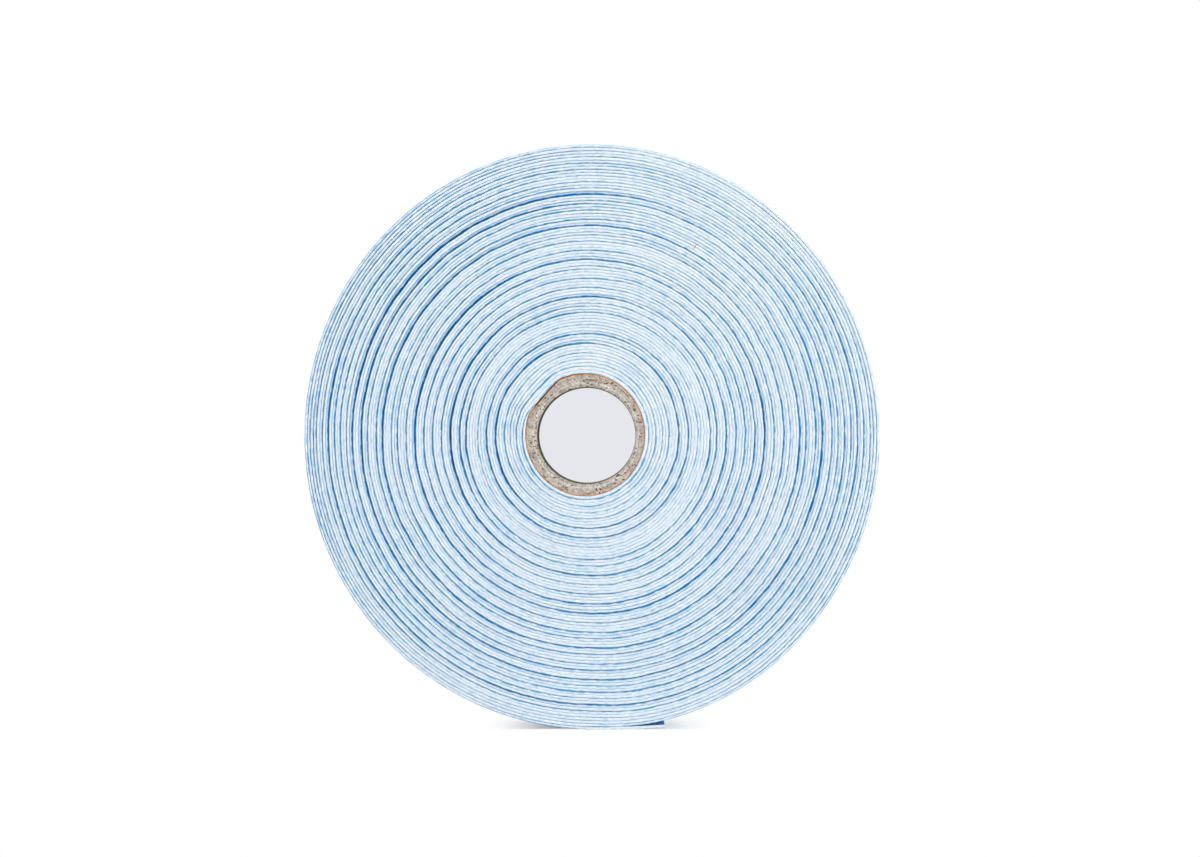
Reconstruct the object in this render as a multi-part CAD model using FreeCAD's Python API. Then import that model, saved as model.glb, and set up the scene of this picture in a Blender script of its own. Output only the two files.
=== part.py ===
import FreeCAD, Part

import math
import os

# Grip tape roll: one long strip of woven cotton grip tape wound on a paper-tube core, with its
# free end lying off the bottom of the roll.
#
# Frame, in millimetres: the origin is the centre of the core's bore at half the tape's width,
# +Y runs along the bore towards the rear face, +X is to the right of the front face and +Z is
# up. Seen from the front, angles run counter-clockwise from +X, and the strip winds outwards
# that way too.

# --- Core: a spiral-wound paper tube of glued plies -------------------------------------------
BORE_RADIUS = 12.7  # a one-inch tube
LINER_PLY = 0.25  # smooth paper next to the bore
BOARD_PLY = 0.50  # each grey chipboard ply
BOARD_PLIES = 5
KRAFT_PLY = 0.25  # brown outer wrap
CORE_LENGTH = 30.0

# --- Tape --------------------------------------------------------------------------------------
TAPE_WIDTH = 30.0
TAPE_THICKNESS = 0.70
TURN_PITCH = 0.80  # from one turn to the next: the tape and the air between the turns
HALF_TURNS = 146  # whole half turns before the last, partial one

# The strip starts at the upper left of the core. The same direction is where its arcs join, and
# the middle of the turns drifts away from it, so the winding is thicker low on the right.
JOIN_ANGLE = 150.0
DRIFT_PER_TURN = 0.0178

# Adhesive strip that holds the first stretch of tape to the core.
STARTER_THICKNESS = 0.08
STARTER_WIDTH = 25.0
STARTER_SWEEP = 70.0  # degrees of the core that it covers
SEAM_GAP = 0.04  # air left each side of the adhesive strip

# --- Bottom of the roll and free end -----------------------------------------------------------
FLAT_RISE = 0.06  # how far the roll's weight presses its lowest turn flat
HINGE_X = 5.5  # where the free end starts to come off the roll
HINGE_GAP = 0.05  # from the hinge line to the tape on each side of it
TAIL_LENGTH = 14.5

CORE_RADIUS = BORE_RADIUS + LINER_PLY + BOARD_PLIES * BOARD_PLY + KRAFT_PLY
FIRST_TURN_RADIUS = CORE_RADIUS + 2 * SEAM_GAP + STARTER_THICKNESS


def at(x, z):
    """A point of the front view, on the plane through the middle of the roll."""
    return FreeCAD.Vector(x, 0, z)


def on_circle(centre, radius, angle):
    """The point of a circle at an angle in degrees."""
    turn = math.radians(angle)
    return at(centre.x + radius * math.cos(turn), centre.z + radius * math.sin(turn))


def arc(centre, radius, start, end):
    """A circular edge from one angle to another."""
    points = [on_circle(centre, radius, a) for a in (start, (start + end) / 2, end)]
    return Part.Arc(*points).toShape()


def widened(outline, width):
    """The solid that a closed outline makes across the roll, centred on its middle plane."""
    face = Part.Face(Part.Wire(outline))
    face.translate(FreeCAD.Vector(0, -width / 2, 0))
    return face.extrude(FreeCAD.Vector(0, width, 0))


def tube(inner_radius, outer_radius, length):
    """A round ply of the core, along Y and centred on the origin."""
    start, along = FreeCAD.Vector(0, -length / 2, 0), FreeCAD.Vector(0, 1, 0)
    outside = Part.makeCylinder(outer_radius, length, start, along)
    return outside.cut(Part.makeCylinder(inner_radius, length, start, along))


def core_plies():
    """The core's plies by name, from the bore outwards. They're glued face to face."""
    plies = {}
    radius = BORE_RADIUS
    layers = [("core_liner", LINER_PLY)]
    layers += [(f"core_board_ply_{n + 1}", BOARD_PLY) for n in range(BOARD_PLIES)]
    layers += [("core_kraft_wrap", KRAFT_PLY)]
    for name, thickness in layers:
        plies[name] = tube(radius, radius + thickness, CORE_LENGTH)
        radius += thickness
    return plies


def starter_strip():
    """The adhesive strip between the core and the first stretch of tape."""
    middle = at(0, 0)
    inner = CORE_RADIUS + SEAM_GAP
    outer = inner + STARTER_THICKNESS
    start, end = JOIN_ANGLE + 2, JOIN_ANGLE + 2 + STARTER_SWEEP
    outline = [
        arc(middle, inner, start, end),
        Part.makeLine(on_circle(middle, inner, end), on_circle(middle, outer, end)),
        arc(middle, outer, end, start),
        Part.makeLine(on_circle(middle, outer, start), on_circle(middle, inner, start)),
    ]
    return widened(outline, STARTER_WIDTH)


def half_turns():
    """The winding as half circles: the centre, inner radius and start angle of each.

    The centre steps along the join line and the radius grows by each step, so neighbours join
    without a corner. The two steps of a turn differ by the drift.
    """
    line = on_circle(at(0, 0), 1, JOIN_ANGLE - 180)
    forward = (TURN_PITCH + DRIFT_PER_TURN) / 2
    back = (TURN_PITCH - DRIFT_PER_TURN) / 2
    offset, radius, turns = 0.0, FIRST_TURN_RADIUS, []
    for n in range(HALF_TURNS + 1):
        turns.append((line * offset, radius, JOIN_ANGLE + 180 * n))
        offset += forward if n % 2 else -back
        radius += forward if n % 2 else back
    return turns


def wound_tape(turns, floor):
    """The strip from its start at the core to the hinge line, as one solid.

    Its two sides are chains of half circles. The last arc of each stops where the flat at the
    bottom of the roll starts.
    """
    outline, starts, flats = [], [], []
    for depth, level in ((0.0, floor + TAPE_THICKNESS), (TAPE_THICKNESS, floor)):
        for middle, radius, start in turns[:-1]:
            outline.append(arc(middle, radius + depth, start, start + 180))
        middle, radius, start = turns[-1]
        short_of_bottom = math.degrees(math.acos((middle.z - level) / (radius + depth)))
        end = start + (270 - JOIN_ANGLE) - short_of_bottom
        outline.append(arc(middle, radius + depth, start, end))
        flat_end = at(HINGE_X - HINGE_GAP, level)
        outline.append(Part.makeLine(on_circle(middle, radius + depth, end), flat_end))
        starts.append(on_circle(at(0, 0), FIRST_TURN_RADIUS + depth, JOIN_ANGLE))
        flats.append(flat_end)
    outline += [Part.makeLine(*starts), Part.makeLine(*flats)]
    return widened(Part.__sortEdges__(outline), TAPE_WIDTH)


def free_end(floor):
    """The straight end of the tape, which lies flat on what the roll stands on."""
    corner = FreeCAD.Vector(HINGE_X + HINGE_GAP, -TAPE_WIDTH / 2, floor)
    return Part.makeBox(TAIL_LENGTH, TAPE_WIDTH, TAPE_THICKNESS, corner)


def main():
    turns = half_turns()
    centre, radius, _ = turns[-1]
    floor = centre.z - (radius + TAPE_THICKNESS - FLAT_RISE)

    nodes = core_plies()
    nodes["starter_strip"] = starter_strip()
    nodes["wound_tape"] = wound_tape(turns, floor)
    nodes["free_end"] = free_end(floor)

    os.makedirs("parts", exist_ok=True)
    for name, solid in nodes.items():
        solid.exportStep(f"parts/{name}.step")
        box = solid.BoundBox
        print(
            f"{name}: valid {solid.isValid()}, {solid.Volume / 1000:.2f} cm3, "
            f"x {box.XMin:.2f} {box.XMax:.2f}, z {box.ZMin:.2f} {box.ZMax:.2f}"
        )
    length = nodes["wound_tape"].Volume / (TAPE_WIDTH * TAPE_THICKNESS) + TAIL_LENGTH
    print(f"tape: {length / 1000:.2f} m long, floor at z {floor:.3f}")


main()
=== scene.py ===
"""Roll of pale blue woven grip tape on a paper tube, standing on its rim with its end lying loose.

Lengths in the classes are millimetres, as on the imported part, and the meshes are in metres. Angles
are in degrees, counter-clockwise from +X as the front face is seen.
"""

import logging
import math
from collections.abc import Sequence
from dataclasses import dataclass, field
from enum import Enum

import bmesh
import bpy
import numpy as np
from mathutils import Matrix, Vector


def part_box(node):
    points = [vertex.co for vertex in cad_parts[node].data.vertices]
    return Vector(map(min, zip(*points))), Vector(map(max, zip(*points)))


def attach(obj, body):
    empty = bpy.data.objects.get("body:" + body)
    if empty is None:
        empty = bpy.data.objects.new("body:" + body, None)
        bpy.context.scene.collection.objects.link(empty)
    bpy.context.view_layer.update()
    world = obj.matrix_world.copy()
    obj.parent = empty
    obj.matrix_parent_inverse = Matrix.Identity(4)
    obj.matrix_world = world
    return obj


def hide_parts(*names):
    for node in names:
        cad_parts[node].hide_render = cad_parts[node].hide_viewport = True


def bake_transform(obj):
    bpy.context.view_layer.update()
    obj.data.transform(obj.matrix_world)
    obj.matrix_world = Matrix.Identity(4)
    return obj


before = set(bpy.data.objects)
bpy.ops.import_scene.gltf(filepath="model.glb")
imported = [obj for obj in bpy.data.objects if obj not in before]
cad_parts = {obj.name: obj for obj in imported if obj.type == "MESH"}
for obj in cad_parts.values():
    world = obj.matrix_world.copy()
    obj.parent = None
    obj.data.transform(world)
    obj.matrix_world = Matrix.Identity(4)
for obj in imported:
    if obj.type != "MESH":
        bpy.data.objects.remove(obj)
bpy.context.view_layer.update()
LOG = logging.getLogger("grip_tape_roll")
MM = 0.001
MAP = "TapeMap"
BLUE_AND_SHADE = "flank"

Colour = tuple[float, float, float, float]


def shade(red: int, green: int, blue: int) -> Colour:
    """A linear colour from 0 to 255 display values.

    Args:
        red: Red as displayed.
        green: Green as displayed.
        blue: Blue as displayed.

    Returns:
        The linear colour with an alpha of one.
    """
    values = [c / 255 for c in (red, green, blue)]
    linear = [c / 12.92 if c <= 0.04045 else ((c + 0.055) / 1.055) ** 2.4 for c in values]
    return (*linear, 1.0)


def node_corners(node: str) -> np.ndarray:
    """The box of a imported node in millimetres, lowest corner first."""
    return np.array([list(corner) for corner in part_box(node)]) / MM


def smooth_step(values: np.ndarray) -> np.ndarray:
    """Values held between zero and one, with soft ends."""
    held = np.clip(values, 0, 1)
    return held * held * (3 - 2 * held)


def ripple(rng: np.random.Generator, count: int, spacing: float) -> np.ndarray:
    """Random waves from -1 to 1.

    Args:
        rng: The seeded source.
        count: How many samples.
        spacing: Samples from one wave knot to the next.

    Returns:
        The samples.
    """
    knots = rng.uniform(-1, 1, int(count / spacing) + 3)
    place = np.arange(count) / spacing
    before = np.floor(place).astype(int)
    share = smooth_step(place - before)
    return knots[before] * (1 - share) + knots[before + 1] * share


# --- Shader nodes ---


class Graph:
    """A node tree with short calls for adding nodes and joining them."""

    def __init__(self, tree: bpy.types.NodeTree) -> None:
        """Starts on a node tree."""
        self.tree = tree

    def add(self, kind: str, inputs: dict | None = None, **settings: object) -> bpy.types.Node:
        """Adds a node.

        Args:
            kind: The node's type.
            inputs: A value or a source socket for each input, by name or number.
            settings: The node's own properties.

        Returns:
            The new node.
        """
        node = self.tree.nodes.new(kind)
        for name, value in settings.items():
            setattr(node, name, value)
        for name, value in (inputs or {}).items():
            self.put(node.inputs[name], value)
        return node

    def put(self, socket: bpy.types.NodeSocket, value: object) -> None:
        """Sets an input to a value, or links a source socket to it.

        Args:
            socket: The input.
            value: A value or a source socket.
        """
        if isinstance(value, bpy.types.NodeSocket):
            self.tree.links.new(value, socket)
        else:
            socket.default_value = value

    def maths(self, operation: str, first: object, second: object = 0.5) -> bpy.types.NodeSocket:
        """The output of a Math node on two sockets or numbers."""
        return self.add("ShaderNodeMath", {0: first, 1: second}, operation=operation).outputs[0]

    def mix(self, factor: object, first: object, second: object) -> bpy.types.NodeSocket:
        """A colour that goes from first to second as factor rises.

        Args:
            factor: A number or a source socket, from 0 to 1.
            first: The colour at 0.
            second: The colour at 1.

        Returns:
            The mixed colour's socket.
        """
        node = self.add("ShaderNodeMix", data_type="RGBA")
        for name, value in (("Factor", factor), ("A", first), ("B", second)):
            self.put(next(s for s in node.inputs if s.name == name and s.enabled), value)
        return next(s for s in node.outputs if s.enabled)

    def ramp(self, factor: object, low: float, high: float) -> bpy.types.NodeSocket:
        """A value that goes softly from 0 to 1 as factor goes from low to high.

        Args:
            factor: A number or a source socket.
            low: Where the value is still 0.
            high: Where the value reaches 1.

        Returns:
            The value's socket.
        """
        inputs = {"Value": factor, "From Min": low, "From Max": high}
        node = self.add("ShaderNodeMapRange", inputs, interpolation_type="SMOOTHSTEP")
        return node.outputs["Result"]

    def scaled(self, vector: object, scale: Sequence[float]) -> bpy.types.NodeSocket:
        """A vector with each part scaled."""
        return self.add("ShaderNodeMapping", {"Vector": vector, "Scale": scale}).outputs[0]

    def noise(self, vector: object, detail: float = 2.0) -> bpy.types.NodeSocket:
        """The value of a noise texture at a vector that is already scaled."""
        inputs = {"Vector": vector, "Scale": 1.0, "Detail": detail, "Roughness": 0.6}
        return self.add("ShaderNodeTexNoise", inputs).outputs[0]


def new_group(
    name: str, inputs: dict[str, tuple[str, object]], outputs: Sequence[str]
) -> tuple[Graph, bpy.types.bpy_prop_collection, bpy.types.bpy_prop_collection]:
    """Starts a shader node group with named sockets.

    Args:
        name: The group's name.
        inputs: Each input's socket type and default.
        outputs: The names of the outputs, which are numbers.

    Returns:
        The group's graph, the sockets that it starts from and the sockets that it ends in.
    """
    tree = bpy.data.node_groups.new(name, "ShaderNodeTree")
    for label, (kind, default) in inputs.items():
        socket = tree.interface.new_socket(label, in_out="INPUT", socket_type=kind)
        if default is not None:
            socket.default_value = default
    for label in outputs:
        tree.interface.new_socket(label, in_out="OUTPUT", socket_type="NodeSocketFloat")
    graph = Graph(tree)
    return graph, graph.add("NodeGroupInput").outputs, graph.add("NodeGroupOutput").inputs


def yarn_group(name: str) -> bpy.types.NodeTree:
    """Builds the group for spun yarn: broken streaks that run along a tape.

    Args:
        name: The group's name.

    Returns:
        The group, which puts out Streak and Fuzz, both from 0 to 1.
    """
    inputs = {
        "Vector": ("NodeSocketVector", None),
        "Length": ("NodeSocketFloat", 2.0),
        "Pitch": ("NodeSocketFloat", 0.2),
    }
    graph, start, end = new_group(name, inputs, ("Streak", "Fuzz"))
    parts = graph.add("ShaderNodeSeparateXYZ", {0: start["Vector"]}).outputs
    along = graph.maths("DIVIDE", parts[0], start["Length"])
    across = graph.maths("DIVIDE", parts[1], start["Pitch"])
    cells = graph.add("ShaderNodeCombineXYZ", {0: along, 1: across}).outputs[0]
    graph.put(end["Streak"], graph.ramp(graph.noise(cells, 1.0), 0.48, 0.66))
    graph.put(end["Fuzz"], graph.noise(graph.scaled(start["Vector"], (2.4, 5.0, 1.0)), 3.0))
    return graph.tree


def paper_group(name: str) -> bpy.types.NodeTree:
    """Builds the group for paper: short fibres, mottling and dark specks.

    Args:
        name: The group's name.

    Returns:
        The group, which puts out Fibres, Mottle and Specks, all from 0 to 1.
    """
    inputs = {
        "Vector": ("NodeSocketVector", None),
        "Grain": ("NodeSocketFloat", 1.0),
        "Dirt": ("NodeSocketFloat", 0.7),
    }
    graph, start, end = new_group(name, inputs, ("Fibres", "Mottle", "Specks"))
    sized = graph.add(
        "ShaderNodeVectorMath", {0: start["Vector"], "Scale": start["Grain"]}, operation="SCALE"
    ).outputs[0]
    # Each noise is scaled by its cells a metre.
    fibres, mottle, dirt = (graph.scaled(sized, (cells,) * 3) for cells in (2600.0, 700.0, 1900.0))
    graph.put(end["Fibres"], graph.noise(fibres, 3.0))
    graph.put(end["Mottle"], graph.noise(mottle, 2.0))
    above = graph.maths("SUBTRACT", graph.noise(dirt, 0.0), start["Dirt"])
    graph.put(end["Specks"], graph.ramp(above, 0.0, 0.05))
    return graph.tree


class Pattern(Enum):
    """The pattern groups that several finishes share."""

    YARN = "spun_yarn"
    PAPER = "paper_pulp"

    def tree(self) -> bpy.types.NodeTree:
        """The group's tree, built when it is first asked for."""
        build = {Pattern.YARN: yarn_group, Pattern.PAPER: paper_group}[self]
        return bpy.data.node_groups.get(self.value) or build(self.value)


def start_material(name: str) -> tuple[bpy.types.Material, Graph, bpy.types.Node]:
    """Starts a material.

    Args:
        name: The material's name.

    Returns:
        The material, its graph and its Principled shader.
    """
    material = bpy.data.materials.new(name)
    material.use_nodes = True
    return material, Graph(material.node_tree), material.node_tree.nodes["Principled BSDF"]


@dataclass(frozen=True)
class Surface:
    """How matt a finish is and how strongly its relief shows."""

    roughness: float
    specular: float
    relief: float
    depth: float

    def dress(self, graph: Graph, shader: bpy.types.Node, colour: object, height: object) -> None:
        """Puts a colour, a relief and this surface's own values on a shader.

        Args:
            graph: The material's graph.
            shader: Its Principled shader.
            colour: The socket of the base colour.
            height: The socket of the relief's height.
        """
        bump = {"Height": height, "Strength": self.relief, "Distance": self.depth}
        graph.put(shader.inputs["Base Color"], colour)
        graph.put(shader.inputs["Normal"], graph.add("ShaderNodeBump", bump).outputs[0])
        shader.inputs["Roughness"].default_value = self.roughness
        shader.inputs["Specular IOR Level"].default_value = self.specular


@dataclass(frozen=True)
class TapeEdgeFinish:
    """The woven edge of the tape: near white, bluer at its corners, with painted blue shade where
    turns part.
    """

    name: str = "tape_edge"
    pale: Colour = shade(222, 231, 238)
    yarn: Colour = shade(168, 194, 215)
    # Mid blue: the face's blue at the corners, and painted shade beside open grooves.
    flank: Colour = shade(120, 176, 212)
    # Painted shade at the bottom of open grooves.
    groove_shade: Colour = shade(34, 138, 200)
    yarn_length: float = 1.7
    yarn_pitch: float = 0.16
    fray: float = 0.55
    surface: Surface = Surface(roughness=0.92, specular=0.15, relief=0.5, depth=0.0001)

    def make(self) -> bpy.types.Material:
        """Builds the material from the tape's own map and its attribute of corner blue and painted
        groove shade.

        Returns:
            The material.
        """
        material, graph, shader = start_material(self.name)
        place = graph.add("ShaderNodeUVMap", uv_map=MAP).outputs[0]
        settings = {"Vector": place, "Length": self.yarn_length, "Pitch": self.yarn_pitch}
        yarn = graph.add("ShaderNodeGroup", settings, node_tree=Pattern.YARN.tree())
        # The corner blue and painted groove shade, broken into dashes and frayed by the nap; the two
        # mixes below paint it.
        flank = graph.add("ShaderNodeAttribute", attribute_name=BLUE_AND_SHADE).outputs["Fac"]
        uneven = graph.maths("SUBTRACT", yarn.outputs["Fuzz"], 0.5)
        ragged = graph.maths("MULTIPLY", uneven, self.fray)
        dash = graph.ramp(graph.noise(graph.scaled(place, (0.4, 0.9, 1.0)), 1.0), 0.36, 0.62)
        broken = graph.maths("ADD", graph.maths("MULTIPLY", dash, 0.75), 0.5)
        sunk = graph.maths("ADD", graph.maths("MULTIPLY", flank, broken), ragged)
        dashes = graph.maths("MULTIPLY", yarn.outputs["Streak"], 0.7)
        colour = graph.mix(dashes, self.pale, self.yarn)
        colour = graph.mix(graph.ramp(sunk, 0.15, 0.75), colour, self.flank)
        # Where the groove is most open, painted shade darkens the edge to the deepest blue.
        colour = graph.mix(graph.ramp(sunk, 0.75, 1.35), colour, self.groove_shade)
        self.surface.dress(graph, shader, colour, yarn.outputs["Fuzz"])
        return material


@dataclass(frozen=True)
class TapeFaceFinish:
    """The flat of the tape: sky blue twill with a soft nap."""

    name: str = "tape_face"
    high: Colour = shade(122, 194, 234)
    low: Colour = shade(44, 154, 210)
    warp: float = 0.62
    weft: float = 0.80
    yarn_length: float = 4.0
    sheen: float = 0.15
    surface: Surface = Surface(roughness=0.88, specular=0.2, relief=0.6, depth=0.00015)

    def make(self) -> bpy.types.Material:
        """Builds the material from the tape's own map.

        Returns:
            The material.
        """
        material, graph, shader = start_material(self.name)
        place = graph.add("ShaderNodeUVMap", uv_map=MAP).outputs[0]
        parts = graph.add("ShaderNodeSeparateXYZ", {0: place}).outputs
        warps = graph.maths("MULTIPLY", parts[1], 2 * math.pi / self.warp)
        wefts = graph.maths("MULTIPLY", parts[0], 2 * math.pi / self.weft)
        twill = graph.maths("SINE", graph.maths("ADD", warps, wefts), 0.0)
        ribs = graph.maths("SINE", warps, 0.0)
        twill, ribs = graph.maths("MULTIPLY", twill, 0.3), graph.maths("MULTIPLY", ribs, 0.2)
        weave = graph.maths("ADD", twill, ribs)
        settings = {"Vector": place, "Length": self.yarn_length, "Pitch": self.warp}
        yarn = graph.add("ShaderNodeGroup", settings, node_tree=Pattern.YARN.tree())
        height = graph.maths("ADD", weave, yarn.outputs["Fuzz"])
        colour = graph.mix(graph.ramp(height, 0.1, 0.95), self.low, self.high)
        self.surface.dress(graph, shader, colour, height)
        shader.inputs["Sheen Weight"].default_value = self.sheen
        return material


@dataclass(frozen=True)
class PaperFinish:
    """Paper or board: pulp with fibres, mottling and specks."""

    name: str
    light: Colour
    dark: Colour
    speck: Colour
    grain: float = 1.0
    dirt: float = 0.66
    seam_lead: float = 0.0
    surface: Surface = Surface(roughness=0.9, specular=0.2, relief=0.8, depth=0.00012)

    def make(self) -> bpy.types.Material:
        """Builds the material from Object coordinates, with a helical seam where it has a lead.

        Returns:
            The material.
        """
        material, graph, shader = start_material(self.name)
        place = graph.add("ShaderNodeTexCoord").outputs["Object"]
        settings = {"Vector": place, "Grain": self.grain, "Dirt": self.dirt}
        pulp = graph.add("ShaderNodeGroup", settings, node_tree=Pattern.PAPER.tree())
        fibres = graph.maths("MULTIPLY", pulp.outputs["Fibres"], 0.65)
        mottle = graph.maths("MULTIPLY", pulp.outputs["Mottle"], 0.45)
        tone = graph.maths("ADD", fibres, mottle)
        colour = graph.mix(graph.ramp(tone, 0.38, 0.72), self.dark, self.light)
        colour = graph.mix(pulp.outputs["Specks"], colour, self.speck)
        if self.seam_lead:
            colour = graph.mix(self._seam(graph, place), colour, self.dark)
        self.surface.dress(graph, shader, colour, tone)
        return material

    def _seam(self, graph: Graph, place: bpy.types.NodeSocket) -> bpy.types.NodeSocket:
        """The mask of the helical line where the paper strip meets its own edge.

        Args:
            graph: The material's graph.
            place: The socket of the Object coordinates.

        Returns:
            The mask's socket, 1 on the line.
        """
        parts = graph.add("ShaderNodeSeparateXYZ", {0: place}).outputs
        turn = graph.maths("DIVIDE", graph.maths("ARCTAN2", parts[2], parts[0]), 2 * math.pi)
        climb = graph.maths("DIVIDE", parts[1], self.seam_lead * MM)
        phase = graph.maths("FRACT", graph.maths("ADD", turn, climb), 0.0)
        off = graph.maths("ABSOLUTE", graph.maths("SUBTRACT", phase, 0.5), 0.0)
        return graph.maths("SUBTRACT", 1.0, graph.ramp(off, 0.006, 0.018))


# --- Meshes ---


def finish_mesh(
    name: str, bm: bmesh.types.BMesh, materials: Sequence[bpy.types.Material]
) -> bpy.types.Object:
    """Makes an object of a bmesh, at the origin and smooth shaded.

    Args:
        name: The piece's name.
        bm: The finished bmesh, in metres, which is freed.
        materials: The object's material slots.

    Returns:
        The object, linked to the scene.
    """
    mesh = bpy.data.meshes.new(name)
    bm.to_mesh(mesh)
    bm.free()
    mesh.shade_smooth()
    for material in materials:
        mesh.materials.append(material)
    piece = bpy.data.objects.new(name, mesh)
    bpy.context.collection.objects.link(piece)
    LOG.info("%s: %d faces", name, len(mesh.polygons))
    return piece


@dataclass
class PaperTube:
    """The core: glued plies of paper, a little out of round, with a flat at the upper left."""

    bore_radius: float
    outer_radius: float
    length: float
    flat_centre: float = 137.5
    flat_half: float = 20.5
    paper_ply: float = 0.25
    board_ply: float = 0.5
    corner: float = 0.05
    cut_back: float = 0.11
    # How near a point of a ply lies to a face of it to count as on that face.
    near: float = 0.1
    steps: int = 180
    cuts: int = 6

    def bore(self, angle: np.ndarray) -> np.ndarray:
        """The radius of the bore at angles, a touch squashed."""
        return self.bore_radius - 0.1 + 0.1 * np.cos(2 * np.radians(angle))

    def round_outline(self, angle: np.ndarray) -> np.ndarray:
        """The radius of the tube's outside at angles, as an oval.

        Args:
            angle: The angles.

        Returns:
            The radius at each.
        """
        turn = np.radians(angle)
        oval = -0.23 - 0.29 * np.cos(turn) + 0.16 * np.sin(turn) - 0.18 * np.cos(2 * turn)
        return self.outer_radius + oval

    def outline(self, angle: np.ndarray) -> np.ndarray:
        """The radius of the tube's outside at angles, with the flat cut in.

        Args:
            angle: The angles.

        Returns:
            The radius at each.
        """
        off = (np.asarray(angle, float) - self.flat_centre + 180) % 360 - 180
        held = np.clip(off, -self.flat_half, self.flat_half)
        reach = np.cos(np.radians(self.flat_half)) / np.cos(np.radians(held))
        return self.round_outline(angle) * np.where(np.abs(off) < self.flat_half, reach, 1.0)

    def wander(self, angle: float, radius: float) -> float:
        """How far in front of its plane the cut end lies at a place."""
        turn = math.radians(angle)
        return 0.06 * math.sin(3 * turn + radius) + 0.05 * math.sin(11 * turn + 4 * radius)

    def ply(
        self, node: str, material: bpy.types.Material, cut: bpy.types.Material,
        recess: float, void: tuple[float, float, float] | None = None,
    ) -> bpy.types.Object:
        """Builds one ply as a closed ring.

        Args:
            node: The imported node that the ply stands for.
            material: The ply's finish.
            cut: The finish of its cut ends.
            recess: How far its ends lie behind the tube's end planes.
            void: The angle, half sweep and depth of a place where its glue let go.

        Returns:
            The ply's object.
        """
        outer, half = node_corners(node)[1][0], self.length / 2 - recess
        inner = outer - (self.board_ply if "board" in node else self.paper_ply)
        bm = bmesh.new()
        bmesh.ops.create_grid(bm, x_segments=1, y_segments=1, size=1)
        for vert in bm.verts:
            vert.co = (outer if vert.co.x > 0 else inner, half if vert.co.y > 0 else -half, 0)
        bmesh.ops.bevel(bm, geom=bm.verts[:], offset=self.corner, offset_type="OFFSET",
                        segments=2, profile=0.5, affect="VERTICES", material=-1)
        sides = [edge for edge in bm.edges if edge.calc_length() > half]
        bmesh.ops.subdivide_edges(bm, edges=sides, cuts=self.cuts)
        bmesh.ops.delete(bm, geom=bm.faces[:], context="FACES_ONLY")
        bmesh.ops.spin(bm, geom=bm.verts[:] + bm.edges[:], cent=(0, 0, 0), axis=(0, 1, 0),
                       angle=2 * math.pi, steps=self.steps, use_merge=True)
        bmesh.ops.remove_doubles(bm, verts=bm.verts[:], dist=1e-4)
        for face in bm.faces:
            face.material_index = int(abs(face.calc_center_median().y) > half - self.near)
        for vert in bm.verts:
            vert.co = self._settled(vert.co, outer, half, void) * MM
        bmesh.ops.recalc_face_normals(bm, faces=bm.faces[:])
        piece = finish_mesh(node.replace("core", "tube"), bm, [material, cut])
        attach(piece, "roll")
        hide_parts(node)
        return piece

    def _settled(
        self, place: Vector, outer: float, half: float, void: tuple[float, float, float] | None
    ) -> Vector:
        """Where a point of a true ring lies on the uneven tube.

        Args:
            place: The point of the true ring.
            outer: The ring's outer radius.
            half: Half its length.
            void: The angle, half sweep and depth of a place where its glue let go.

        Returns:
            The point on the tube.
        """
        radius = math.hypot(place.x, place.z)
        angle = math.degrees(math.atan2(place.z, place.x))
        share = (radius - self.bore_radius) / (self.outer_radius - self.bore_radius)
        if void and radius > outer - self.near:
            off = ((angle - void[0] + 180) % 360 - 180) / void[1]
            share -= void[2] * max(0.0, 1 - off * off)
        inside, outside = float(self.bore(angle)), float(self.outline(angle))
        scale = (inside + (outside - inside) * share) / radius
        along = place.y
        if abs(along) > half - self.near:
            along -= math.copysign(self.cut_back + self.wander(angle, radius), along)
        return Vector((place.x * scale, along, place.z * scale))


@dataclass
class StarterStrip:
    """The adhesive strip that holds the first stretch of tape to the tube."""

    tube: PaperTube
    width: float
    start: float = 152.0
    sweep: float = 70.0
    thickness: float = 0.06
    glue_line: float = 0.02

    def build(self, material: bpy.types.Material) -> bpy.types.Object:
        """Builds the strip against the tube.

        Args:
            material: The strip's finish.

        Returns:
            The strip's object.
        """
        bm = bmesh.new()
        bmesh.ops.create_grid(bm, x_segments=40, y_segments=10, size=1)
        for vert in bm.verts:
            angle = self.start + self.sweep * (vert.co.x + 1) / 2
            radius = float(self.tube.outline(angle)) + self.glue_line
            turn = math.radians(angle)
            along = vert.co.y * self.width / 2
            vert.co = Vector((radius * math.cos(turn), along, radius * math.sin(turn))) * MM
        bmesh.ops.recalc_face_normals(bm, faces=bm.faces[:])
        bmesh.ops.solidify(bm, geom=bm.faces[:], thickness=-self.thickness * MM)
        bmesh.ops.recalc_face_normals(bm, faces=bm.faces[:])
        piece = finish_mesh("starter_adhesive", bm, [material])
        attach(piece, "roll")
        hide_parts("starter_strip")
        return piece


@dataclass
class Course:
    """A stretch of tape as rows, each across the tape, with one value a row in every field."""

    inner: np.ndarray
    outer: np.ndarray
    inner_round: np.ndarray
    outer_round: np.ndarray
    front: np.ndarray
    back: np.ndarray
    inner_blue_and_shade: np.ndarray
    outer_blue_and_shade: np.ndarray

    def steps(self) -> np.ndarray:
        """The length from each row to the next, along the middle of the tape."""
        middle = (self.inner + self.outer) / 2
        return np.linalg.norm(np.diff(middle, axis=0), axis=1)

    def length(self) -> float:
        """The length of the stretch, along the middle of the tape."""
        return float(self.steps().sum())

    def part(self, rows: np.ndarray) -> "Course":
        """The same stretch with only some of its rows."""
        return Course(**{name: values[rows] for name, values in vars(self).items()})


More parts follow.
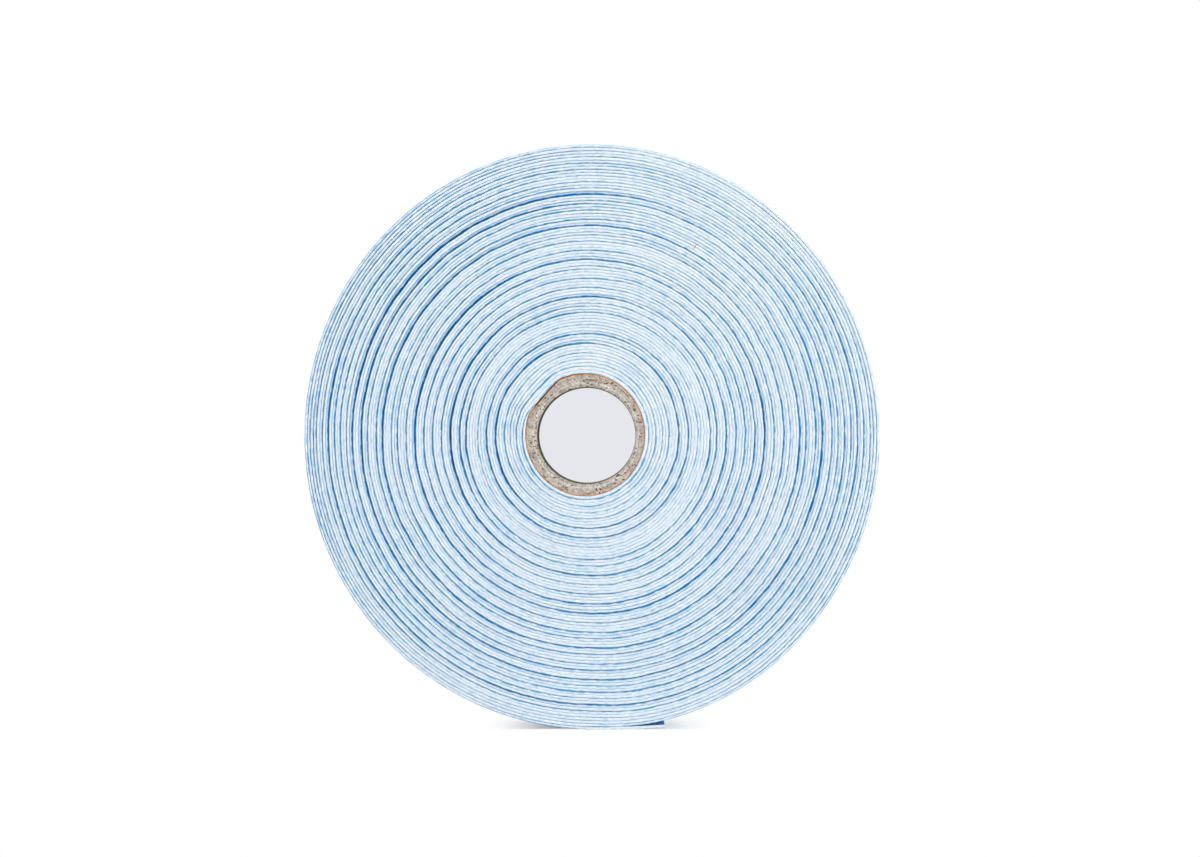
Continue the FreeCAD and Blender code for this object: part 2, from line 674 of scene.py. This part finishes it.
@dataclass
class TapeSection:
    """The closed outline across the tape, and how a course of rows becomes a mesh."""

    half_width: float
    support: float = 0.5
    # Places across the thickness from the inner face, and the rounding's depth at each.
    across: tuple[float, ...] = (0.0, 0.0, 0.13, 0.36, 0.64, 0.87, 1.0, 1.0)
    depth: tuple[float, ...] = (1.0, 1.0, 0.42, 0.06, 0.06, 0.42, 1.0, 1.0)
    # How much of the corner blue and painted groove shade each place across the edge takes: most at
    # the corners beside the next turn, least just past the middle.
    tint: tuple[float, ...] = (1.0, 1.0, 1.0, 0.72, 0.12, 0.7, 1.0, 1.0)
    edge_columns: tuple[range, ...] = (range(1, 6), range(10, 15))

    def rows(self, course: Course) -> tuple[np.ndarray, np.ndarray, np.ndarray]:
        """Lays the outline out along a course.

        Args:
            course: The stretch of tape.

        Returns:
            The points, the share across the thickness and the corner blue and painted groove shade,
            by row and column.
        """
        u, depth = np.array(self.across), np.array(self.depth)
        far = (u > 0.5)[None, :]
        roundness = np.where(far, course.outer_round[:, None], course.inner_round[:, None])
        flank = np.where(far, course.outer_blue_and_shade[:, None], course.inner_blue_and_shade[:, None])
        flank = flank * np.array(self.tint)
        inset = roundness * depth
        inset[:, [0, -1]] += self.support
        front = -self.half_width + course.front[:, None] + inset
        back = (self.half_width - course.back[:, None] - inset)[:, ::-1]
        middle = np.zeros((len(front), 1))
        y = np.hstack([front, middle, back, front[:, :1]])
        share = np.concatenate([u, [1.0], u[::-1], u[:1]])
        flank = np.hstack([flank, middle, flank[:, ::-1], flank[:, :1]])
        flat = course.inner[:, None] * (1 - share[:, None]) + course.outer[:, None] * share[:, None]
        points = np.stack([flat[..., 0], y, flat[..., 1]], axis=-1)
        return points, share, flank

    def build(
        self, name: str, course: Course, materials: Sequence[bpy.types.Material], start: float
    ) -> bpy.types.Object:
        """Builds a stretch of tape as one closed mesh with its map and its attribute of corner blue
        and painted groove shade.

        Args:
            name: The piece's name.
            course: The stretch of tape.
            materials: The face finish and the edge finish.
            start: How far along the whole tape the stretch starts.

        Returns:
            The piece, still riding on nothing.
        """
        points, share, flank = self.rows(course)
        mesh, row, column = self._laid_out(points)
        corner = np.empty(len(mesh.loops), int)
        mesh.loops.foreach_get("vertex_index", corner)
        strip = column[corner].reshape(-1, 4).min(axis=1)
        edges = np.isin(strip, [c for group in self.edge_columns for c in group])
        mesh.polygons.foreach_set("material_index", edges.astype(np.int32))
        thickness = np.linalg.norm(course.outer - course.inner, axis=1).mean()
        rim = share[column[corner]] * thickness
        wide = points[row[corner], column[corner], 1] + self.half_width
        across = np.where(np.repeat(edges, 4), rim, wide)
        along = start + np.concatenate([[0], np.cumsum(course.steps())])
        chart = mesh.uv_layers.new(name=MAP)
        chart.data.foreach_set("uv", np.column_stack([along[row[corner]], across]).ravel())
        tint = mesh.attributes.new(BLUE_AND_SHADE, "FLOAT", "POINT")
        tint.data.foreach_set("value", flank[row, column].astype(np.float32))
        mesh.update()
        return finish_mesh(name, self._closed(mesh), materials)

    def _laid_out(self, points: np.ndarray) -> tuple[bpy.types.Mesh, np.ndarray, np.ndarray]:
        """Lays a grid of faces on a sheet of points.

        Args:
            points: The points in millimetres, by row and column.

        Returns:
            The mesh, and the row and the column of each of its vertices.
        """
        rows, columns = points.shape[0] - 1, points.shape[1] - 1
        bm = bmesh.new()
        bmesh.ops.create_grid(bm, x_segments=columns, y_segments=rows, size=1)
        mesh = bpy.data.meshes.new("laid_out")
        bm.to_mesh(mesh)
        bm.free()
        places = np.empty(len(mesh.vertices) * 3)
        mesh.vertices.foreach_get("co", places)
        places = places.reshape(-1, 3)
        column = np.rint((places[:, 0] + 1) / 2 * columns).astype(int)
        row = np.rint((places[:, 1] + 1) / 2 * rows).astype(int)
        mesh.vertices.foreach_set("co", (points[row, column] * MM).ravel())
        return mesh, row, column

    def _closed(self, mesh: bpy.types.Mesh) -> bmesh.types.BMesh:
        """Joins a laid-out sheet's long sides and caps its ends.

        Args:
            mesh: The sheet's mesh, which is removed.

        Returns:
            The closed bmesh.
        """
        bm = bmesh.new()
        bm.from_mesh(mesh)
        bpy.data.meshes.remove(mesh)
        bmesh.ops.remove_doubles(bm, verts=bm.verts[:], dist=1e-7)
        ends = [edge for edge in bm.edges if edge.is_boundary]
        caps = bmesh.ops.holes_fill(bm, edges=ends, sides=0)["faces"]
        for cap in caps:
            cap.material_index = 1
            for edge in cap.edges:
                edge.smooth = False
        bmesh.ops.recalc_face_normals(bm, faces=bm.faces[:])
        return bm


@dataclass
class Winding:
    """The tape's path round the tube, turn on turn, in bundles with open grooves between them."""

    tube: PaperTube
    floor: float
    turns: float = 73 + 1 / 3
    start: float = 150.0
    grid: int = 720
    thickness: float = 0.68
    air: float = 0.12
    mean_pitch: float = 0.806
    # The pressed inner end of the tape, how far along it thickens, and what lies under it.
    pressed: float = 0.16
    feather: float = 0.07
    glue_line: float = 0.05
    tube_gap: float = 0.1
    # The share of a turn at which the first turn starts to climb over the inner end.
    climb_from: float = 0.78
    centre: tuple[float, float] = (1.31, -0.385)
    mean_radius: float = 74.75
    seed: int = 11
    # How many turns lie close together before each open groove, from the tube outwards.
    bundles: tuple[int, ...] = (1, 2, 2, 2, 3, 3, 3, 4, 2, 3, 3, 3, 3, 3, 3, 3, 2, 3, 2, 3, 2, 3,
                                2, 2, 2, 2, 2, 2, 1, 1, 1)
    # Deeper stretches of groove: radius, start and end angle, and how much deeper.
    accents: tuple[tuple[float, float, float, float], ...] = (
        (61.6, 70, 215, 0.5), (34.3, 135, 210, 0.4), (45.3, 95, 190, 0.3))
    # The turns whose groove is faint, and the turn from which the seams show less.
    faint: tuple[int, ...] = (5, 16)
    quiet_from: float = 65.0
    place: np.ndarray = field(init=False)
    angle: np.ndarray = field(init=False)
    inner: np.ndarray = field(init=False)
    outer: np.ndarray = field(init=False)
    open: np.ndarray = field(init=False)

    def __post_init__(self) -> None:
        """Works the path out, one turn on the one inside it."""
        rng = np.random.default_rng(self.seed)
        count = round(self.turns * self.grid) + 1
        self.place = np.arange(count) / self.grid
        self.angle = self.start + 360 * self.place
        self.open = self._grooves(rng) * self._by_angle()
        gap = self._gaps(rng)
        core = self.tube.outline(self.angle) + self.tube_gap
        inner = self._stacked(core, gap)
        self.inner = core + (inner - core) * self._fit(inner + self.thickness, core)
        above = self.inner[self.grid:] - gap[self.grid:]
        self.outer = np.append(above, self.inner[-self.grid:] + self.thickness)

    def _stacked(self, core: np.ndarray, gap: np.ndarray) -> np.ndarray:
        """Lays every turn on the one inside it.

        The step over the tape's inner end and the flat of the tube are evened out over the first
        few turns.

        Args:
            core: The radius of the tube under each point.
            gap: The air under each point.

        Returns:
            The radius of the tape's inner face at each point.
        """
        count, share = len(self.place), self.place % 1
        climb = smooth_step((share - self.climb_from) / (1 - self.climb_from))
        ease = smooth_step(share / self.feather)
        thin = (self.thickness - self.pressed) * (1 - smooth_step(self.place / self.feather))
        thick = self.thickness - thin
        first_step = self.pressed + self.glue_line
        inner = np.where(self.place < 1, core + climb * first_step, 0.0)
        for first in range(self.grid, count, self.grid):
            rows = slice(first, min(first + self.grid, count))
            below = slice(first - self.grid, rows.stop - self.grid)
            inner[rows] = inner[below] + thick[below] + gap[rows]
        pitch = self.thickness + self.air
        stepped = first_step * climb + (pitch - first_step) * (ease - 1)
        later = np.maximum(self.place - 1, 0)
        inner += (pitch * share - stepped) * (1 - np.exp(-later / 3))
        even = self.tube.round_outline(self.angle) + self.tube_gap - core
        inner += even * (1 - np.exp(-later / 5))
        return inner

    def _grooves(self, rng: np.random.Generator) -> np.ndarray:
        """How open the space under each point of the tape is, from 0 to 1.

        Each groove opens at the upper right of one turn and closes one whole turn later.

        Args:
            rng: The seeded source.

        Returns:
            The opening at each point.
        """
        opened = np.zeros(len(self.place))
        for turn, size in zip(np.cumsum(self.bundles), self.bundles):
            where = rng.uniform(35, 65) if rng.random() < 0.85 else rng.uniform(20, 80)
            begin = turn + (where - self.start) / 360
            strength = rng.uniform(0.4, 1.0) * (0.35 if turn in self.faint else 1.0)
            strength *= {1: 0.5, 2: 0.85}.get(size, 1.0)
            fade = rng.uniform(0.09, 0.2)
            ends = smooth_step((self.place - begin) / fade)
            ends = ends - smooth_step((self.place - begin - 1) / fade)
            opened = np.maximum(opened, strength * ends)
        opened *= 0.85 + 0.22 * ripple(rng, len(opened), 90)
        radius = self.tube.outer_radius + self.mean_pitch * self.place
        for ring, start, end, more in self.accents:
            near = smooth_step(2 - np.abs(radius - ring) / 0.7)
            inside = (self.angle - start) % 360 / (end - start)
            opened *= 1 + more * near * smooth_step(inside * 3) * smooth_step((1 - inside) * 3)
        return opened

    def _by_angle(self) -> np.ndarray:
        """How much the grooves open at each angle: most on the left, least at the upper right."""
        # The painted groove shade follows these weights as well, so it is painted darkest on the
        # left and palest at the upper right, as the light falls.
        angles = [0, 20, 45, 70, 90, 120, 150, 210, 240, 270, 300, 340]
        weights = [0.93, 0.82, 0.65, 0.6, 0.78, 1.0, 1.1, 1.05, 0.78, 0.66, 0.8, 0.94]
        return np.interp(self.angle, angles, weights, period=360)

    def _gaps(self, rng: np.random.Generator) -> np.ndarray:
        """The air under each point of the tape.

        Args:
            rng: The seeded source.

        Returns:
            The gap at each point.
        """
        count = len(self.place)
        fine = 0.03 + 0.02 * ripple(rng, count, 9) + 0.015 * ripple(rng, count, 40)
        wide = self.open * (0.17 + 0.04 * ripple(rng, count, 60) + 0.04 * ripple(rng, count, 13))
        return np.maximum(fine, 0.004) + wide

    def _fit(self, outer: np.ndarray, core: np.ndarray) -> np.ndarray:
        """The scale on each point's height over the tube that gives the roll its outline.

        The last turn grows by its pitch, bulges low on the right where the tape is slack, and is
        a little oval and tucked in at the lower left.

        Args:
            outer: The radius of the tape's outer face before it is scaled.
            core: The radius of the tube under each point.

        Returns:
            The scale at each point.
        """
        turn = np.radians(np.linspace(-100, 280, 761))
        radius = self.mean_radius + 1.0 * (turn - np.pi / 2) / (2 * np.pi)
        slope = np.degrees(turn)
        radius = radius + 0.95 * smooth_step((slope + 97) / 22) * smooth_step((-25 - slope) / 45)
        radius = radius - 0.45 * np.cos(2 * turn)
        radius = radius - 0.95 * ((1 - np.cos(turn - math.radians(30))) / 2) ** 2
        x = self.centre[0] + radius * np.cos(turn)
        z = self.centre[1] + radius * np.sin(turn)
        seen = np.unwrap(np.arctan2(z, x))
        last = slice(len(outer) - self.grid, len(outer))
        wrapped = np.radians(self.angle[last] - 360 * int(self.turns))
        wanted = np.interp(wrapped, seen, np.hypot(x, z))
        scale = (wanted - core[last]) / (outer[last] - core[last])
        return np.interp(self.angle, self.angle[last], scale, period=360)

    def course(self) -> Course:
        """Lays the whole winding out.

        Returns:
            The winding, with a row for each point of the path.
        """
        rng = np.random.default_rng(self.seed + 1)
        count = len(self.place)
        turn = np.radians(self.angle)
        way = np.column_stack([np.cos(turn), np.sin(turn)])
        inner = way * self.inner[:, None]
        outer = way * self.outer[:, None]
        outer[:, 1] = np.maximum(outer[:, 1], self.floor)
        inner[:, 1] = np.maximum(inner[:, 1], self.floor + self.thickness)
        seam = np.maximum(0.25 + 0.22 * ripple(rng, count, 40), 0)
        seam *= 1 - 0.6 * smooth_step((self.place - self.quiet_from) / 4)
        under = self.open
        # Painted light: the last turn's outer corner is painted paler from the right to the upper
        # right, where the light falls, and bluer elsewhere.
        rim = 0.5 + 0.6 * smooth_step((self.angle[-self.grid:] % 360 - 60) / 60)
        over = np.concatenate([self.open[self.grid:], rim])[:count]
        loose = 0.10 + 0.05 * ripple(rng, count, 11)
        sunk = 0.10 + 0.08 * ripple(rng, count, 300) + 0.05 * ripple(rng, count, 37)
        return Course(
            inner=inner,
            outer=outer,
            inner_round=loose + 0.25 * under,
            outer_round=loose + 0.25 * over,
            front=sunk + 0.35 * under,
            back=0.10 + 0.08 * ripple(rng, count, 300) + 0.3 * under,
            # The corner blue and painted groove shade: strong where the groove under or over a turn
            # is open, plus a faint seam at every turn.
            inner_blue_and_shade=under * (1.2 + 0.35 * ripple(rng, count, 25)) + seam,
            outer_blue_and_shade=over * (1.05 + 0.4 * ripple(rng, count, 25)) + seam,
        )


@dataclass
class GripTape:
    """The whole strip of tape: the winding in three stretches, and its free end."""

    winding: Winding
    section: TapeSection
    tip_x: float
    materials: Sequence[bpy.types.Material]
    free_from: float = -6.0
    lift: float = 1.0
    row_step: float = 0.4
    seed: int = 5
    # Each wound stretch: its name, the turn that it runs to, and the points from row to row.
    stretches: tuple[tuple[str, int, int], ...] = (
        ("tape_inner_turns", 26, 8), ("tape_middle_turns", 52, 5), ("tape_outer_turns", 74, 3))

    def build(self) -> list[bpy.types.Object]:
        """Builds the stretches and the free end.

        Returns:
            Their objects, from the tube outwards.
        """
        course = self.winding.course()
        last = int(np.argmax(self.winding.place > self.winding.turns - 0.25))
        last += int(np.argmax(course.outer[last:, 0] > self.free_from))
        pieces, along, first = [], 0.0, 0
        for name, turn, stride in self.stretches:
            end = min(turn * self.winding.grid, last)
            rows = np.append(np.arange(first, end, stride), end)
            stretch = course.part(rows)
            piece = self.section.build(name, stretch, self.materials, along)
            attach(piece, "roll")
            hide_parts("wound_tape")
            self._declare(stretch)
            along += stretch.length()
            first = end
            pieces.append(piece)
        end = len(course.front) - 1
        arriving = course.part(np.append(np.arange(last, end, 6), end))
        pieces.append(self._free_end(arriving, along))
        return pieces

    def _declare(
        self, stretch: Course
    ) -> None:
        """Works out a piece of tape's size when it is laid flat, and does nothing with it.

        Args:
            stretch: The stretch of tape that it shows.
        """
        flat = (2 * self.section.half_width * MM, stretch.length() * MM)

    def _free_end(self, arriving: Course, along: float) -> bpy.types.Object:
        """Builds the stretch from the bottom of the roll to the tip.

        Args:
            arriving: The last rows of the winding.
            along: How far along the whole tape they start.

        Returns:
            The free end's object.
        """
        floor, thickness = self.winding.floor, self.winding.thickness
        x = np.arange(self.row_step, self.tip_x + self.row_step / 2, self.row_step)
        x[-1] = self.tip_x
        rise = self.lift * smooth_step((x - 3) / 30)
        outer = np.column_stack([x, floor + rise])
        inner = outer + np.array([0.0, thickness])
        rng = np.random.default_rng(self.seed)
        same = np.ones(len(x))
        lying = Course(
            inner=inner,
            outer=outer,
            inner_round=0.16 * same,
            outer_round=0.16 * same,
            front=0.12 + 0.05 * ripple(rng, len(x), 6),
            back=0.12 + 0.05 * ripple(rng, len(x), 6),
            inner_blue_and_shade=0.25 * same,
            outer_blue_and_shade=0.15 * same,
        )
        joined = Course(**{
            name: np.concatenate([values, getattr(lying, name)])
            for name, values in vars(arriving).items()
        })
        piece = self.section.build("tape_free_end", joined, self.materials, along)
        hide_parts("free_end")
        self._declare(joined)
        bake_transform(piece)
        return piece


@dataclass
class PaperFleck:
    """A shred of the tube's paper that lies on the face of the roll."""

    place: tuple[float, float] = (27.9, 48.4)
    length: float = 1.2
    width: float = 0.26
    thickness: float = 0.16
    bow: float = 0.06
    sunk: float = 0.12
    face: float = -15.0

    def build(self, material: bpy.types.Material) -> bpy.types.Object:
        """Builds the shred flat against the roll's face.

        Args:
            material: The shred's finish.

        Returns:
            The shred's object.
        """
        turn = math.atan2(self.place[1], self.place[0])
        bm = bmesh.new()
        bmesh.ops.create_uvsphere(bm, u_segments=12, v_segments=8, radius=0.5)
        for vert in bm.verts:
            along = vert.co.x * self.length
            side = vert.co.z * self.width + self.bow * math.cos(along * 4)
            x = self.place[0] + along * math.cos(turn) - side * math.sin(turn)
            z = self.place[1] + along * math.sin(turn) + side * math.cos(turn)
            y = self.face + self.sunk + vert.co.y * self.thickness
            vert.co = Vector((x, y, z)) * MM
        bmesh.ops.recalc_face_normals(bm, faces=bm.faces[:])
        piece = finish_mesh("paper_fleck", bm, [material])
        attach(piece, "roll")
        return piece


# --- Studio ---


@dataclass(frozen=True)
class Lamp:
    """A square area lamp that points at the roll, in metres and watts."""

    name: str
    place: tuple[float, float, float]
    side: float
    power: float

    def make(self) -> None:
        """Makes the lamp."""
        data = bpy.data.lights.new(self.name, "AREA")
        data.size, data.energy = self.side, self.power
        lamp = bpy.data.objects.new(self.name, data)
        lamp.location = self.place
        lamp.rotation_euler = (-Vector(self.place)).to_track_quat("-Z", "Y").to_euler()
        bpy.context.collection.objects.link(lamp)


@dataclass
class Studio:
    """A white floor that keeps the shadow, soft lamps, and a camera level with the bore.

    The floor is in millimetres and the rest in metres.
    """

    floor: float
    distance: float = 1.0
    view_width: float = 0.308
    view_x: float = 0.0035
    camera_x: float = 0.009
    camera_z: float = 0.0018
    front: float = -0.015
    floor_radius: float = 2.8
    shadow_x: float = 0.003
    shadow_core: float = 0.004
    shadow_reach: float = 0.031
    glow: float = 0.14
    surround: Colour = (0.45, 0.455, 0.465, 1)
    # A painted shadow: the pale grey that stands for the roll's shade on a backdrop, seen through
    # the bore.
    behind: Colour = shade(230, 231, 236)
    lamps: tuple[Lamp, ...] = (
        Lamp("key", (-0.30, -0.75, 1.35), side=0.9, power=12.5),
        Lamp("fill", (0.2, -1.2, 0.8), side=0.9, power=4.5),
        Lamp("low_side", (1.0, -0.12, 0.03), side=0.4, power=7.0),
    )

    def build(self) -> None:
        """Builds the floor, the world, the lamps and the camera."""
        self._floor()
        self._world()
        for lamp in self.lamps:
            lamp.make()
        self._camera()
        bpy.context.scene.view_settings.view_transform = "Standard"

    def _floor(self) -> None:
        """Makes the plain floor that the roll stands on."""
        bm = bmesh.new()
        bmesh.ops.create_circle(bm, cap_ends=True, segments=96, radius=self.floor_radius)
        bmesh.ops.translate(bm, verts=bm.verts[:], vec=(0, 0, self.floor * MM))
        finish_mesh("floor", bm, [self._card()])

    def _card(self) -> bpy.types.Material:
        """Builds the floor's white card.

        The eye sees the card only beside and behind the foot of the roll. It is clear elsewhere,
        where it would be plain white, so that an end that hangs below it still shows.

        Returns:
            The material.
        """
        material, graph, shader = start_material("floor_card")
        place = graph.add("ShaderNodeTexCoord").outputs["Object"]
        mottle = graph.noise(graph.scaled(place, (3.0,) * 3), 2.0)
        tone = graph.mix(mottle, shade(248, 248, 249), shade(252, 252, 252))
        graph.put(shader.inputs["Base Color"], tone)
        shader.inputs["Roughness"].default_value = 0.95
        clear = graph.add("ShaderNodeBsdfTransparent").outputs[0]
        seen = graph.add("ShaderNodeLightPath").outputs["Is Camera Ray"]
        foot = {"Vector": place, "Location": (-self.shadow_x, 0, 0), "Scale": (1.0, 0.4, 0.0)}
        parts = graph.add("ShaderNodeMapping", foot)
        away = graph.add("ShaderNodeVectorMath", {0: parts.outputs[0]}, operation="LENGTH")
        fading = graph.ramp(away.outputs["Value"], self.shadow_core, self.shadow_reach)
        depth = graph.add("ShaderNodeSeparateXYZ", {0: place}).outputs[1]
        nearer = graph.maths("MULTIPLY", depth, -1.0)
        ahead = graph.ramp(nearer, -0.5 * self.front, -self.front)
        graph.put(shader.inputs["Emission Strength"], graph.maths("MULTIPLY", seen, self.glow))
        share = graph.maths("MULTIPLY", seen, graph.maths("MAXIMUM", fading, ahead))
        soft = graph.add("ShaderNodeMixShader", {0: share, 1: shader.outputs[0], 2: clear})
        graph.put(material.node_tree.nodes["Material Output"].inputs[0], soft.outputs[0])
        return material

    def _world(self) -> None:
        """Makes a white surround, with a painted shadow of pale grey seen straight behind the roll.
        """
        world = bpy.data.worlds.new("surround")
        world.use_nodes = True
        bpy.context.scene.world = world
        graph = Graph(world.node_tree)
        light = world.node_tree.nodes["Background"]
        way = graph.add("ShaderNodeTexCoord").outputs["Generated"]
        ahead = graph.add("ShaderNodeSeparateXYZ", {0: way}).outputs[1]
        # The mask of the painted shadow, a small patch of directions straight behind the roll.
        behind = graph.ramp(ahead, 0.9995, 0.99955)
        seen = graph.mix(behind, (1, 1, 1, 1), self.behind)
        path = graph.add("ShaderNodeLightPath").outputs
        direct = graph.maths("MAXIMUM", path["Is Camera Ray"], path["Is Glossy Ray"])
        direct = graph.maths("MAXIMUM", direct, path["Is Transmission Ray"])
        graph.put(light.inputs["Color"], graph.mix(direct, self.surround, seen))

    def _camera(self) -> None:
        """Makes the camera, level and square to the roll's front face."""
        data = bpy.data.cameras.new("camera")
        data.lens = data.sensor_width * self.distance / self.view_width
        data.shift_x = (self.view_x - self.camera_x) / self.view_width
        camera = bpy.data.objects.new("camera", data)
        camera.location = (self.camera_x, self.front - self.distance, self.camera_z)
        camera.rotation_euler = (math.pi / 2, 0, 0)
        bpy.context.collection.objects.link(camera)
        bpy.context.scene.camera = camera


# --- The whole object ---


def build_tube() -> PaperTube:
    """Builds the seven plies of the core.

    Returns:
        The tube, for what is wound on it.
    """
    outer = node_corners("core_kraft_wrap")[1]
    liner = node_corners("core_liner")[1][0]
    tube = PaperTube(bore_radius=liner - PaperTube.paper_ply, outer_radius=outer[0],
                     length=2 * outer[1])
    board = PaperFinish("grey_board", light=shade(206, 198, 188), dark=shade(146, 136, 124),
                        speck=shade(104, 78, 56)).make()
    pale = PaperFinish("pale_board", light=shade(222, 216, 208), dark=shade(170, 160, 148),
                       speck=shade(120, 94, 70)).make()
    kraft = PaperFinish("kraft_wrap", light=shade(234, 166, 104), dark=shade(190, 118, 62),
                        speck=shade(120, 80, 50), seam_lead=38.0).make()
    liner_paper = PaperFinish("bore_liner", light=shade(160, 164, 140), dark=shade(118, 126, 98),
                              speck=shade(70, 72, 56), seam_lead=42.0).make()
    tube.ply("core_liner", liner_paper, board, recess=0.05)
    # Where the glue of a board ply let go: the angle, half sweep and depth, by the ply's number.
    voids = {2: (352.0, 9.0, 0.05), 3: (86.0, 7.0, 0.07), 4: (48.0, 8.0, 0.05)}
    for number in range(1, 6):
        finish = pale if number == 2 else board
        tube.ply(f"core_board_ply_{number}", finish, finish,
                 recess=0.02 * (number % 3), void=voids.get(number))
    tube.ply("core_kraft_wrap", kraft, kraft, recess=0.08)
    return tube


def main() -> None:
    """Builds the roll and the studio."""
    logging.basicConfig(level=logging.INFO, format="%(name)s: %(message)s")
    tube = build_tube()
    adhesive = PaperFinish("starter_glue", light=shade(226, 222, 210), dark=shade(206, 200, 184),
                           speck=shade(190, 182, 164)).make()
    StarterStrip(tube, width=25.0).build(adhesive)
    floor = node_corners("free_end")[0][2]
    tip = node_corners("free_end")[1][0]
    winding = Winding(tube, floor=floor)
    materials = [TapeFaceFinish().make(), TapeEdgeFinish().make()]
    GripTape(winding, TapeSection(half_width=15.0), tip, materials).build()
    PaperFleck().build(bpy.data.materials["kraft_wrap"])
    Studio(floor=floor).build()


if __name__ == "__main__":
    main()
